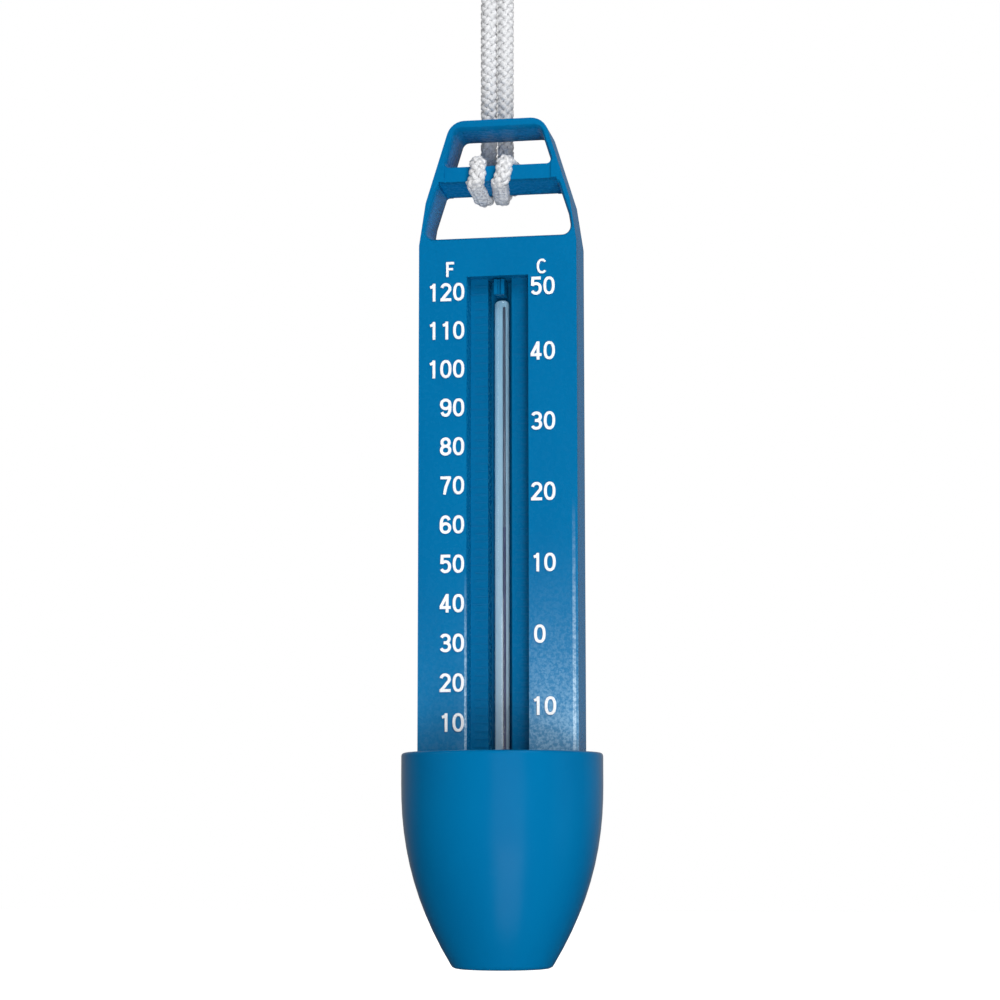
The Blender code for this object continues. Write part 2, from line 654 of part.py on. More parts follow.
def build():
    scale_body()
    rear_cover()
    cover_gasket()
    for number, (x, z) in enumerate(cover_screw_places(), 1):
        cover_screw(number, x, z)
    float_block(-1)
    float_block(1)
    cup()
    ballast()
    cup_screw()
    glass_tube()
    spirit()
    top_clip()
    lower_clip()
    cord_leg("cord_left", LEFT_ROUTE)
    cord_leg("cord_right", RIGHT_ROUTE)
    cord_knot()


build()
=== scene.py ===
"""Looks of the floating pool thermometer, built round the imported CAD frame.

Metres, +Z up, the scale faces -Y. Heights are given in millimetres above the cup's base, as in the
CAD source, and up() turns them into the frame's z.
"""
import math

import bmesh
import bpy
import numpy as np
from mathutils import Matrix, Vector

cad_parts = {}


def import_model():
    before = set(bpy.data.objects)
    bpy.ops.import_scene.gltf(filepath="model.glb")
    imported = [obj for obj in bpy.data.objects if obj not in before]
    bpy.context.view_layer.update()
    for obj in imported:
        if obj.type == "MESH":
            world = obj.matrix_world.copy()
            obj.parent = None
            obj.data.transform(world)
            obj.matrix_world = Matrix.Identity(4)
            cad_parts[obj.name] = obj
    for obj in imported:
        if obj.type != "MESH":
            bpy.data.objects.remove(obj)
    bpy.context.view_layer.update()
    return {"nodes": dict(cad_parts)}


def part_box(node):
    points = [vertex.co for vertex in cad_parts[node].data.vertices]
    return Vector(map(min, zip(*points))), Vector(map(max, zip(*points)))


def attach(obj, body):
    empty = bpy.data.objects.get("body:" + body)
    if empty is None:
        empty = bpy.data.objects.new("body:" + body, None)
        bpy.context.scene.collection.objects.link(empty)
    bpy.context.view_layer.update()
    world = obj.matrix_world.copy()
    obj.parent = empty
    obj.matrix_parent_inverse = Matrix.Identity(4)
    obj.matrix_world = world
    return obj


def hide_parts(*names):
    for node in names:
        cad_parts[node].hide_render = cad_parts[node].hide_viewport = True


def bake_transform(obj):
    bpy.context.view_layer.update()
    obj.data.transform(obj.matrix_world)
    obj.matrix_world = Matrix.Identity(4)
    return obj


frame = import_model()

MM = 0.001
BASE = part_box("cup")[0].z
NODES = frame["nodes"]


def up(height):
    """Frame z of a height in millimetres above the cup's base."""
    return BASE + height * MM


# ---------------------------------------------------------------- camera

def camera():
    """A camera below the middle of the plate and to its right, looking slightly up."""
    data = bpy.data.cameras.new("camera")
    data.lens = 92.2
    data.sensor_width = 36.0
    data.clip_start, data.clip_end = 0.01, 50
    made = bpy.data.objects.new("camera", data)
    made.location = (118.76 * MM, -680 * MM, up(34.7))
    yaw, pitch, roll = math.radians(9.95), math.radians(7.49), math.radians(-0.05)
    turn = (Matrix.Rotation(yaw, 3, "Z") @ Matrix.Rotation(math.pi / 2 + pitch, 3, "X")
            @ Matrix.Rotation(roll, 3, "Z"))
    made.rotation_euler = turn.to_euler()
    bpy.context.scene.collection.objects.link(made)
    bpy.context.scene.camera = made


camera()


# ---------------------------------------------------------------- node helpers

def material(name, colour, roughness, **sockets):
    """A Principled material; sockets are further inputs of the shader, with _ for a space."""
    made = bpy.data.materials.new(name)
    made.use_nodes = True
    shader = made.node_tree.nodes["Principled BSDF"]
    shader.inputs["Base Color"].default_value = (*colour, 1)
    shader.inputs["Roughness"].default_value = roughness
    for key, value in sockets.items():
        shader.inputs[key.replace("_", " ")].default_value = value
    return made


def node(owner, kind, **settings):
    """A node of a material or the world; settings are its properties or, with _ for a space, its inputs."""
    made = owner.node_tree.nodes.new(kind)
    for key, value in settings.items():
        if hasattr(made, key):
            setattr(made, key, value)
        else:
            made.inputs[key.replace("_", " ")].default_value = value
    return made


def link(owner, source, target):
    owner.node_tree.links.new(source, target)


def shader_of(mat):
    return mat.node_tree.nodes["Principled BSDF"]


def axes(owner, space="Object"):
    """The X, Y and Z of the shaded place."""
    place = node(owner, "ShaderNodeTexCoord")
    split = node(owner, "ShaderNodeSeparateXYZ")
    link(owner, place.outputs[space], split.inputs["Vector"])
    return tuple(split.outputs)


def maths(owner, operation, *values):
    """Result of a Math node; each value is a number or another node's output."""
    made = node(owner, "ShaderNodeMath", operation=operation)
    for socket, value in zip(made.inputs, values):
        if isinstance(value, (int, float)):
            socket.default_value = value
        else:
            link(owner, value, socket)
    return made.outputs["Value"]


def product(owner, first, *others):
    for other in others:
        first = maths(owner, "MULTIPLY", other, first)
    return first


def remapped(owner, source, start, end, low=0.0, high=1.0):
    """A value taken from the range start to end into low to high, and held between them."""
    made = node(owner, "ShaderNodeMapRange", From_Min=start, From_Max=end, To_Min=low, To_Max=high)
    link(owner, source, made.inputs["Value"])
    return made.outputs["Result"]


def noise(mat, scale, detail=2.0, stretch=(1, 1, 1), roughness=0.5):
    """Noise in object space, in features per metre."""
    place = node(mat, "ShaderNodeTexCoord")
    mapping = node(mat, "ShaderNodeMapping")
    mapping.inputs["Scale"].default_value = stretch
    made = node(mat, "ShaderNodeTexNoise", Scale=scale, Detail=detail, Roughness=roughness)
    link(mat, place.outputs["Object"], mapping.inputs["Vector"])
    link(mat, mapping.outputs["Vector"], made.inputs["Vector"])
    return made.outputs["Fac"]


def ramp(mat, source, low, high, dark, light):
    """A colour that runs from dark to light as the source runs from low to high."""
    made = node(mat, "ShaderNodeValToRGB")
    for stop, position, colour in zip(made.color_ramp.elements, (low, high), (dark, light)):
        stop.position, stop.color = position, (*colour, 1)
    link(mat, source, made.inputs["Fac"])
    return made.outputs["Color"]


def mixed_in(mat, colour, mask, other):
    """The colour, with another one over it where the mask is 1."""
    mixed = node(mat, "ShaderNodeMixRGB", Color2=(*other, 1))
    link(mat, mask, mixed.inputs["Fac"])
    link(mat, colour, mixed.inputs["Color1"])
    return mixed.outputs["Color"]


def set_colour(mat, colour):
    link(mat, colour, shader_of(mat).inputs["Base Color"])


def set_relief(mat, *layers):
    """Bump the surface; each layer is (height output, strength, distance in metres)."""
    below = None
    for height, strength, distance in layers:
        made = node(mat, "ShaderNodeBump", Strength=strength, Distance=distance)
        link(mat, height, made.inputs["Height"])
        if below is not None:
            link(mat, below, made.inputs["Normal"])
        below = made.outputs["Normal"]
    link(mat, below, shader_of(mat).inputs["Normal"])


def set_roughness(mat, texture, low, high):
    """Roughness that follows a texture between two values."""
    link(mat, remapped(mat, texture, 0, 1, low, high), shader_of(mat).inputs["Roughness"])


# ---------------------------------------------------------------- blue plastic

BLUE = (0.0002, 0.131, 0.320)
BLUE_LIGHT = (0.0003, 0.147, 0.347)
# The marks' blue is darkened by painted shade, like the recess floor that they stand on
TICK_BLUE_SHADED = (0.0002, 0.108, 0.268)
TICK_BLUE_SHADED_PALE = (0.0003, 0.118, 0.285)

# Tops and bottoms are heights in millimetres above the cup's base
# Pale specks low on the plate's face, denser downwards and to the right
PALE_SPECKS = (0.26, 0.46, 0.64)
PALE_SPECKS_TOP, PALE_SPECKS_BOTTOM = 125, 56
# Painted highlights along two edges low on the plate: the recess's left edge and the face's right bevel
EDGE_HIGHLIGHT = (0.44, 0.62, 0.78)
EDGE_HIGHLIGHT_PLACES = ((-8.75 * MM, 0.30 * MM, 105), (20.7 * MM, 0.42 * MM, 125))    # x, half width, top
EDGE_HIGHLIGHT_BOTTOM = 62
FACE_FRONT, FACE_BACK = -6.6 * MM, -5.8 * MM   # the plate's face and its bevels lie ahead of the second y
RECESS_TOP, RECESS_HALF = 196, 9.5 * MM
SHADE_FULL = -4.0 * MM             # from this y on, the change of shade is complete
SHADE_END = 5.5 * MM               # the back of the body starts here and keeps its own shade


def bloom(mat, colour):
    """Pale specks low on the plate's face, strongest on its right, and painted highlights along two edges
    there.
    """
    x, y, z = axes(mat)
    speck = ramp(mat, noise(mat, 1100, 3, roughness=0.75), 0.42, 0.6, (0.35,) * 3, (1,) * 3)
    specks_mask = product(mat, speck,
                   maths(mat, "POWER", remapped(mat, z, up(PALE_SPECKS_TOP), up(PALE_SPECKS_BOTTOM)), 2.6),
                   remapped(mat, x, -12 * MM, 12 * MM, 0.12, 1),
                   remapped(mat, y, FACE_FRONT, FACE_BACK, 1, 0))
    colour = mixed_in(mat, colour, specks_mask, PALE_SPECKS)
    # Painted highlights along the two edges, speckled like the patch
    for edge, half_width, top in EDGE_HIGHLIGHT_PLACES:
        edge_highlight = product(mat, speck,
                         maths(mat, "COMPARE", x, edge, half_width),
                         remapped(mat, z, up(top), up(EDGE_HIGHLIGHT_BOTTOM)),
                         maths(mat, "LESS_THAN", y, FACE_BACK))
        colour = mixed_in(mat, colour, edge_highlight, EDGE_HIGHLIGHT)
    return colour


def shaded_by_place(mat, colour, recess, walls):
    """Painted shade and light: the dye scaled behind the plate's face, by one factor in the recess and by
    the other elsewhere.
    """
    x, y, z = axes(mat)
    in_recess = product(mat, maths(mat, "COMPARE", x, 0, RECESS_HALF),
                        maths(mat, "LESS_THAN", z, up(RECESS_TOP)))
    change = remapped(mat, in_recess, 0, 1, walls - 1, recess - 1)
    behind = product(mat, remapped(mat, y, FACE_FRONT, SHADE_FULL), maths(mat, "LESS_THAN", y, SHADE_END))
    scaled = node(mat, "ShaderNodeVectorMath", operation="SCALE")
    link(mat, colour, scaled.inputs[0])
    link(mat, maths(mat, "MULTIPLY_ADD", behind, change, 1.0), scaled.inputs["Scale"])
    return scaled.outputs["Vector"]


def moulded(name, colours, roughness, grain, grain_depth, specular=0.10):
    """Dyed moulded plastic: slight clouding in the dye and a fine grained skin."""
    mat = material(name, colours[0], roughness, Specular_IOR_Level=specular)
    cloud = noise(mat, 55, 4, (1, 1, 0.35))
    set_colour(mat, ramp(mat, cloud, 0.3, 0.72, *colours))
    coarse = noise(mat, grain * 0.3, 2)
    fine = noise(mat, grain, 3, roughness=0.65)
    set_roughness(mat, coarse, roughness - 0.07, roughness + 0.07)
    set_relief(mat, (coarse, 0.5, grain_depth), (fine, 0.8, grain_depth))
    return mat


def plate_plastic():
    """The blue plastic, with a recess darkened by painted shade, walls behind the face lightened by painted
    light, pale specks low on the face and painted highlights on two edges there.
    """
    mat = moulded("plate_plastic", (BLUE, BLUE_LIGHT), 0.27, 2600, 0.04 * MM)
    dye = shader_of(mat).inputs["Base Color"].links[0].from_socket
    # Painted shade darkens the recess; painted light lightens the walls and undersides behind the face
    set_colour(mat, bloom(mat, shaded_by_place(mat, dye, recess=0.85, walls=1.35)))
    return mat


def cup_plastic():
    """As the plate's, smoother, with a soft clear coat that shows only where the surface turns away."""
    mat = moulded("cup_plastic", (BLUE, BLUE_LIGHT), 0.24, 900, 0.012 * MM, specular=0.03)
    turning = node(mat, "ShaderNodeLayerWeight", Blend=0.5).outputs["Facing"]
    link(mat, remapped(mat, turning, 0.40, 0.9), shader_of(mat).inputs["Coat Weight"])
    shader_of(mat).inputs["Coat Roughness"].default_value = 0.3
    return mat


PLATE = plate_plastic()
SMOOTH = cup_plastic()
# Marks in the plate's plastic, darkened by painted shade
TICK_SHADED = moulded("tick_plastic_shaded", (TICK_BLUE_SHADED, TICK_BLUE_SHADED_PALE), 0.36, 2600, 0.02 * MM)


# ---------------------------------------------------------------- other materials

def steel(name, colour, roughness):
    mat = material(name, colour, roughness, Metallic=1.0)
    brushed = noise(mat, 1500, 3, (1, 1, 0.08))
    set_roughness(mat, brushed, roughness - 0.08, roughness + 0.12)
    set_relief(mat, (brushed, 0.25, 0.02 * MM))
    return mat


def foam():
    mat = material("closed_cell_foam", (0.86, 0.86, 0.83), 0.92)
    place = node(mat, "ShaderNodeTexCoord")
    cells = node(mat, "ShaderNodeTexVoronoi", Scale=1400.0)
    link(mat, place.outputs["Object"], cells.inputs["Vector"])
    set_relief(mat, (cells.outputs["Distance"], 0.6, 0.2 * MM))
    return mat


def rubber():
    mat = material("black_rubber", (0.018, 0.018, 0.019), 0.62)
    pores = noise(mat, 1800, 2)
    set_roughness(mat, pores, 0.52, 0.72)
    set_relief(mat, (pores, 0.3, 0.04 * MM))
    return mat


def clip_plastic():
    mat = material("clip_plastic", (0.74, 0.75, 0.73), 0.42)
    grain = noise(mat, 1600, 2)
    set_roughness(mat, grain, 0.36, 0.50)
    set_relief(mat, (grain, 0.3, 0.03 * MM))
    return mat


def paint():
    """White print paint on the raised numerals, a little worn."""
    mat = material("numeral_paint", (0.90, 0.91, 0.92), 0.5)
    worn = noise(mat, 1500, 3)
    set_colour(mat, ramp(mat, worn, 0.25, 0.5, (0.68, 0.72, 0.77), (0.86, 0.875, 0.89)))
    set_relief(mat, (worn, 0.3, 0.03 * MM))
    return mat


def glass():
    """Thin clear glass: reflects by angle and lets light straight through to what lies inside."""
    mat = bpy.data.materials.new("tube_glass")
    mat.use_nodes = True
    nodes = mat.node_tree.nodes
    nodes.remove(shader_of(mat))
    clear = node(mat, "ShaderNodeBsdfTransparent", Color=(0.93, 0.96, 0.97, 1))
    gloss = node(mat, "ShaderNodeBsdfGlossy", Roughness=0.08)
    mix = node(mat, "ShaderNodeMixShader")
    facing = node(mat, "ShaderNodeLayerWeight", Blend=0.1).outputs["Facing"]
    for socket, source in enumerate((remapped(mat, facing, 0, 1, 0.04, 0.9), clear.outputs["BSDF"],
                                     gloss.outputs["BSDF"])):
        link(mat, source, mix.inputs[socket])
    link(mat, mix.outputs["Shader"], nodes["Material Output"].inputs["Surface"])
    return mat


def enamel():
    """Milky backing of the tube, tinted blue by painted light from the blue plastic round it, most towards
    its top.
    """
    mat = material("backing_enamel", (0.33, 0.57, 0.72), 0.45)
    _, _, z = axes(mat)
    # Painted reflected light: blue thrown onto the backing by the plastic round the tube, stronger towards
    # its top
    blue_bounce_tint = ramp(mat, remapped(mat, z, up(60), up(165)), 0.0, 1.0, (0.50, 0.64, 0.74), (0.33, 0.57, 0.74))
    mottle = ramp(mat, noise(mat, 700, 2, (1, 1, 0.2)), 0.3, 0.7, (0.86, 0.90, 0.94), (1, 1, 1))
    blend = node(mat, "ShaderNodeMixRGB", blend_type="MULTIPLY", Fac=1.0)
    link(mat, blue_bounce_tint, blend.inputs["Color1"])
    link(mat, mottle, blend.inputs["Color2"])
    set_colour(mat, blend.outputs["Color"])
    return mat


def dyed(name, colour, lighter):
    mat = material(name, colour, 0.18)
    set_colour(mat, ramp(mat, noise(mat, 900, 2, (1, 1, 0.15)), 0.35, 0.65, colour, lighter))
    return mat


def cord_fibre():
    """Bright synthetic yarn: filaments run along each strand, u across it and v along it."""
    mat = material("cord_yarn", (0.86, 0.87, 0.88), 0.36, Sheen_Weight=0.25, Sheen_Roughness=0.4,
                   Specular_IOR_Level=0.6)
    place = node(mat, "ShaderNodeTexCoord")
    mapping = node(mat, "ShaderNodeMapping")
    mapping.inputs["Scale"].default_value = (14, 1.5, 1)
    noisy = node(mat, "ShaderNodeTexNoise", Scale=3.0, Detail=3.0)
    link(mat, place.outputs["UV"], mapping.inputs["Vector"])
    link(mat, mapping.outputs["Vector"], noisy.inputs["Vector"])
    filaments = noisy.outputs["Fac"]
    set_colour(mat, ramp(mat, filaments, 0.3, 0.6, (0.56, 0.57, 0.60), (0.76, 0.765, 0.775)))
    set_roughness(mat, filaments, 0.30, 0.48)
    set_relief(mat, (filaments, 0.7, 0.12 * MM))
    return mat


COVER_SCREWS = ("cover_screw_1", "cover_screw_2", "cover_screw_3", "cover_screw_4")
GLASS = glass()
ENAMEL = enamel()
PAINT = paint()
YARN = cord_fibre()
SPIRIT = dyed("dark_spirit", (0.055, 0.060, 0.120), (0.085, 0.090, 0.175))
BORE = dyed("empty_bore", (0.075, 0.095, 0.15), (0.12, 0.14, 0.20))
FINISHES = {
    PLATE: ("scale_body", "rear_cover", "top_clip", "ballast_cap"),
    SMOOTH: ("cup",),
    clip_plastic(): ("lower_clip",),
    rubber(): ("cover_gasket", "screw_seal"),
    steel("screw_steel", (0.60, 0.60, 0.59), 0.28): ("cup_screw", *COVER_SCREWS),
    steel("ballast_steel", (0.45, 0.45, 0.44), 0.42): ("ballast_disc",),
    foam(): ("float_left", "float_right"),
    SPIRIT: ("spirit_fill",),
}
for finish, names in FINISHES.items():
    for name in names:
        NODES[name].data.materials.clear()
        NODES[name].data.materials.append(finish)


SHARP_ANGLE = 32                   # degrees; a sharper edge stays a corner
FLAT_WEIGHT = 90                   # how strongly large faces set the shading of small ones


def smooth_shading(name):
    """Soft shading over a body's rounded faces, with its corners kept sharp."""
    body = NODES[name]
    kept = body.data.attributes.get("custom_normal")
    if kept is not None:
        body.data.attributes.remove(kept)
    body.data.polygons.foreach_set("use_smooth", [True] * len(body.data.polygons))
    weld = body.modifiers.new("weld", "WELD")
    weld.merge_threshold = 0.01 * MM
    split = body.modifiers.new("corners", "EDGE_SPLIT")
    split.split_angle = math.radians(SHARP_ANGLE)
    weigh = body.modifiers.new("flats_first", "WEIGHTED_NORMAL")
    weigh.weight = FLAT_WEIGHT


for name in ("scale_body", "rear_cover", "cup", "cup_screw", "ballast_disc", "ballast_cap", "screw_seal",
             "cover_gasket", *COVER_SCREWS):
    smooth_shading(name)


# ---------------------------------------------------------------- mesh helpers

def mesh_object(name, verts, faces, mat, smooth=True, uvs=None):
    """An object of one material; uvs holds one pair for each corner of each face."""
    mesh = bpy.data.meshes.new(name)
    mesh.from_pydata([tuple(v) for v in verts], [], faces)
    if uvs is not None:
        layer = mesh.uv_layers.new(name="strand")
        layer.data.foreach_set("uv", np.asarray(uvs, np.float32).ravel())
    mesh.materials.append(mat)
    mesh.polygons.foreach_set("use_smooth", [smooth] * len(mesh.polygons))
    made = bpy.data.objects.new(name, mesh)
    bpy.context.scene.collection.objects.link(made)
    return made


def resampled(points, step):
    """The same line as points a constant step apart."""
    points = np.asarray(points, float)
    along = np.concatenate([[0], np.cumsum(np.linalg.norm(np.diff(points, axis=0), axis=1))])
    count = max(2, int(round(along[-1] / step)) + 1)
    places = np.linspace(0, along[-1], count)
    return np.stack([np.interp(places, along, points[:, k]) for k in range(3)], axis=1), places


def smooth_route(points, per_span):
    """A Catmull-Rom curve through the route's points."""
    p = [Vector(q) for q in points]
    p = [p[0] * 2 - p[1], *p, p[-1] * 2 - p[-2]]
    route = []
    for a, b, c, d in zip(p, p[1:], p[2:], p[3:]):
        for k in range(per_span):
            t = k / per_span
            route.append(0.5 * (2 * b + (c - a) * t + (2 * a - 5 * b + 4 * c - d) * t * t
                                + (3 * b - a - 3 * c + d) * t * t * t))
    route.append(p[-2])
    return [tuple(q) for q in route]


def turning_frames(points):
    """Tangent, and two directions across it that don't twist, at each point."""
    tangents = np.gradient(points, axis=0)
    tangents /= np.linalg.norm(tangents, axis=1)[:, None]
    across = np.cross(tangents[0], (0.31, 0.17, 0.93) if abs(tangents[0][2]) < 0.8 else (1.0, 0.1, 0.0))
    across /= np.linalg.norm(across)
    normals = [across]
    for t in tangents[1:]:
        across = across - t * (across @ t)
        across = across / np.linalg.norm(across)
        normals.append(across)
    normals = np.array(normals)
    return tangents, normals, np.cross(tangents, normals)


# ---------------------------------------------------------------- cord

CORD_R = 2.5 * MM
LAY = 9.6 * MM                     # one full turn of a strand
CARRIERS = 4                       # strands in each direction
STRAND_THICK = 0.56 * MM           # half thickness and half width of a strand
STRAND_WIDE = 0.78 * MM
WEAVE = 0.40 * MM                  # how far a strand rises over the one that it crosses
STRAND_SIDES = 8
RING_STEP = 0.42 * MM
MELT_ANGLES = (-50, -25, 0, 20, 40, 60, 75, 90)
TINY = 0.01 * MM                   # radius that closes the end of a turned shape

# Each leg, from the middle of the hitch's bight up to the knot: x, y and height above the cup's base,
# in millimetres
LEFT_ROUTE = (
    (-3.1, 13.9, 215.6), (-5.3, 13.8, 215.6), (-7.7, 12.9, 215.8), (-9.2, 10.9, 216.4), (-9.2, 9.0, 217.9),
    (-8.3, 6.4, 219.7), (-6.9, 1.0, 219.6), (-5.7, -4.4, 219.65), (-5.4, -7.9, 219.0), (-5.4, -8.8, 216.5),
    (-5.4, -8.8, 213.6), (-5.7, -8.1, 211.5), (-5.9, -5.6, 210.75), (-5.8, 0.0, 210.3), (-5.6, 5.6, 209.6),
    (-5.4, 8.4, 210.5), (-5.3, 9.4, 213.3), (-5.3, 9.5, 219.0), (-5.25, 9.5, 230.0), (-5.2, 9.45, 245.0),
    (-5.2, 9.4, 262.0), (-5.1, 9.4, 276.5))
RIGHT_ROUTE = (
    (-2.7, 13.9, 215.6), (-0.5, 13.8, 215.6), (1.9, 12.9, 215.8), (3.45, 10.9, 216.4), (3.45, 9.0, 217.9),
    (3.0, 6.4, 219.7), (2.6, 1.0, 219.6), (2.3, -4.4, 219.65), (2.1, -7.9, 219.0), (2.0, -8.8, 216.5),
    (1.6, -8.8, 213.6), (1.3, -8.1, 211.5), (1.0, -5.6, 210.75), (0.5, 0.0, 210.3), (-0.1, 5.6, 209.6),
    (-0.4, 8.4, 210.5), (-0.5, 9.4, 213.3), (-0.5, 9.5, 219.0), (-0.5, 9.5, 230.0), (-0.5, 9.45, 245.0),
    (-0.45, 9.4, 262.0), (-0.4, 9.4, 276.5))


def to_frame(route):
    return [(x * MM, y * MM, up(z)) for x, y, z in route]


# Crossbar's section; its underside falls by the slope from the middle to the back and rises to the front
BAR_LOW, BAR_HIGH, BAR_HALF, BAR_SLOPE = up(212.4), up(217.4), 6.5 * MM, 0.6 * MM
PULL = 0.68                        # what is left of the cord's distance from the bar once it is pulled in
GRIP_END, GRIP_FADE = 3.4 * MM, 1.2 * MM       # the pull ends this far off the bar, and fades before
BACK_FREE, BACK_FADE = up(212.5), 2.0 * MM     # behind the bar it ends at this z, and fades below
LEAN = 1.0 * MM                    # how far the cord slips to the left under the bar
LEAN_TOP, LEAN_FADE = up(214.3), 4.5 * MM      # it starts below this z, and is complete this much lower
LEAST_REACH = 0.5 * MM             # where the cord's middle is nearer the bar, it isn't pressed flat
LEAST_GAP = 0.05 * MM              # the nearest that a pressed strand comes to the bar


def held(value):
    return max(0.0, min(1.0, value))


def off_bar(point):
    """Nearest place on the crossbar's section, and the way out from it."""
    x, y, z = point
    y_near = max(-BAR_HALF, min(BAR_HALF, y))
    low = BAR_LOW - BAR_SLOPE * y_near / BAR_HALF
    near = Vector((x, y_near, max(low, min(BAR_HIGH, z))))
    return near, Vector(point) - near


def drawn_tight(line):
    """Pull the part of the cord that lies on the crossbar in against it, and lean what is under the bar."""
    drawn = []
    for point in line:
        near, out = off_bar(point)
        grip = held((GRIP_END - out.length) / GRIP_FADE)
        if near.y >= BAR_HALF:
            grip *= held((BACK_FREE - point[2]) / BACK_FADE)
        place = near + out * (1 - (1 - PULL) * grip)
        place.x -= LEAN * held((LEAN_TOP - place.z) / LEAN_FADE)
        drawn.append(tuple(place))
    return drawn


def rings(centres, side, radial, wide, thick):
    """Corners of an oval ring round each centre; wide and thick are half sizes, one for each ring."""
    angles = np.linspace(0, 2 * math.pi, STRAND_SIDES, endpoint=False)
    spread = np.cos(angles)[None, :, None] * wide[:, None, None] * side[:, None, :]
    rise = np.sin(angles)[None, :, None] * thick[:, None, None] * radial[:, None, :]
    return (centres[:, None, :] + spread + rise).reshape(-1, 3)


def skin(first, count, places, shift):
    """Faces and UVs of the tube through a run of rings; u goes round it and v along it."""
    faces, uvs = [], []
    for i in range(count - 1):
        for j in range(STRAND_SIDES):
            a = first + i * STRAND_SIDES + j
            b = first + i * STRAND_SIDES + (j + 1) % STRAND_SIDES
            faces.append((a, b, b + STRAND_SIDES, a + STRAND_SIDES))
            u0, u1 = j / STRAND_SIDES, (j + 1) / STRAND_SIDES
            v0, v1 = places[i] / MM + shift, places[i + 1] / MM + shift
            uvs += [(u0, v0), (u1, v0), (u1, v1), (u0, v1)]
    return faces, uvs


def flattened(block, points):
    """Press one strand of the cord against the crossbar, so that the cord is flat on its inner side."""
    block = block.reshape(len(points), STRAND_SIDES, 3).copy()
    for i, point in enumerate(points):
        near, out = off_bar(tuple(point))
        reach = out.length
        if reach >= CORD_R or reach < LEAST_REACH:
            continue
        way = np.array(out.normalized())
        lift = (block[i] - point) @ way
        pressed = np.maximum(lift - (CORD_R - reach), LEAST_GAP - reach)
        block[i] += np.outer(pressed - lift, way)
    return block.reshape(-1, 3)


def braid(name, route, melted=False):
    """Strands that spiral both ways round the route, each over one and under the next, over a core.

    A melted end is a rounded cap past the route's last point.
    """
    points, places = resampled(route, RING_STEP)
    tangents, normals, binormals = turning_frames(points)
    ones = np.ones(len(points))
    middle = CORD_R - WEAVE - STRAND_THICK
    turn = 2 * math.pi / LAY
    blocks, faces, uvs = [], [], []

    def add(block, at, shift):
        count = len(block) // STRAND_SIDES
        if count == len(points):
            block = flattened(block, points)
        made, laid = skin(sum(len(b) for b in blocks), count, at, shift)
        blocks.append(block)
        faces.extend(made)
        uvs.extend(laid)

    for direction in (1, -1):
        for k in range(CARRIERS):
            theta = direction * turn * places + 2 * math.pi * k / CARRIERS
            reach = middle + direction * WEAVE * np.cos(CARRIERS * turn * places)
            radial = np.cos(theta)[:, None] * normals + np.sin(theta)[:, None] * binormals
            centres = points + radial * reach[:, None]
            run = tangents + np.cross(tangents, radial) * (direction * turn * reach)[:, None]
            side = np.cross(run, radial)
            side /= np.linalg.norm(side, axis=1)[:, None]
            add(rings(centres, side, radial, STRAND_WIDE * ones, STRAND_THICK * ones), places, 7 * k)
    core = (middle - WEAVE) * ones
    add(rings(points, binormals, normals, core, core), places, 0)
    if melted:
        climb = np.radians(MELT_ANGLES)
        reach = np.maximum(CORD_R * 0.97 * np.cos(climb), TINY)
        centres = points[-1] + tangents[-1] * (np.sin(climb) * CORD_R * 0.7)[:, None]
        frames = [np.repeat(v[-1:], len(climb), axis=0) for v in (binormals, normals)]
        add(rings(centres, *frames, reach, reach), np.zeros(len(climb)), 0)
    return mesh_object(name, np.concatenate(blocks), faces, YARN, True, uvs)


KNOT_TURNS, KNOT_STEPS = 3, 30     # turns round both legs, and points on each turn
KNOT_WIDE, KNOT_DEEP, KNOT_RISE = 2.95 * CORD_R, 2.0 * CORD_R, 2.04 * CORD_R
TAIL_LEAN = 2.2 * MM


def cords():
    """Both legs of the hitch, the knot that joins them, and its tails."""
    knot_low, knot_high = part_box("cord_knot")
    middle = (knot_low + knot_high) / 2
    for name, route in (("left", LEFT_ROUTE), ("right", RIGHT_ROUTE)):
        line = drawn_tight(smooth_route(to_frame(route), 6))
        leg = braid("braided_cord_" + name, line)
        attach(leg, "root")
        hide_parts("cord_" + name)

    # The right leg's end is wound round both legs, and both tails stand out above
    foot, top = knot_low.z, knot_high.z
    steps = int(KNOT_TURNS * KNOT_STEPS)
    angles = [2 * math.pi * i / KNOT_STEPS for i in range(steps + 1)]
    wrap = [(middle.x + KNOT_WIDE * math.sin(a), middle.y - KNOT_DEEP * math.cos(a),
             foot + CORD_R + KNOT_RISE * i / KNOT_STEPS) for i, a in enumerate(angles)]
    coil = braid("cord_knot_wraps", wrap)
    pieces = [coil]
    for side, name in ((-1, "left"), (1, "right")):
        x = middle.x + side * CORD_R
        lean = side * TAIL_LEAN
        through = smooth_route([(x, middle.y, foot - 1.5 * MM), (x, middle.y, foot + 5 * MM),
                                (x, middle.y, foot + 12 * MM), (x + lean * 0.3, middle.y, foot + 17 * MM),
                                (x + lean, middle.y, top - 0.8 * CORD_R)], 6)
        pieces.append(braid("cord_tail_" + name, through, melted=True))
    for piece in pieces:
        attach(piece, "root")
    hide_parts("cord_knot")


cords()


# ---------------------------------------------------------------- numerals

STROKE = 0.39                      # half width of a numeral's stroke, millimetres
DIGIT_W = 1.17                     # half width and half height of its centre line
DIGIT_H = 2.1
EDGE = DIGIT_H + STROKE
ADVANCE = 3.55
RAISED = 0.35                      # how far a numeral stands out of the plate
SUNK = 0.02 * MM                   # how far its back goes into the plate


def bow(cx, cy, rx, ry, start, end, power=2.0, steps=18):
    """Points on an ellipse, or with a higher power on a squarer one."""
    points = []
    for k in range(steps + 1):
        a = math.radians(start + (end - start) * k / steps)
        c, s = math.cos(a), math.sin(a)
        points.append((cx + rx * math.copysign(abs(c) ** (2 / power), c),
                       cy + ry * math.copysign(abs(s) ** (2 / power), s)))
    return points


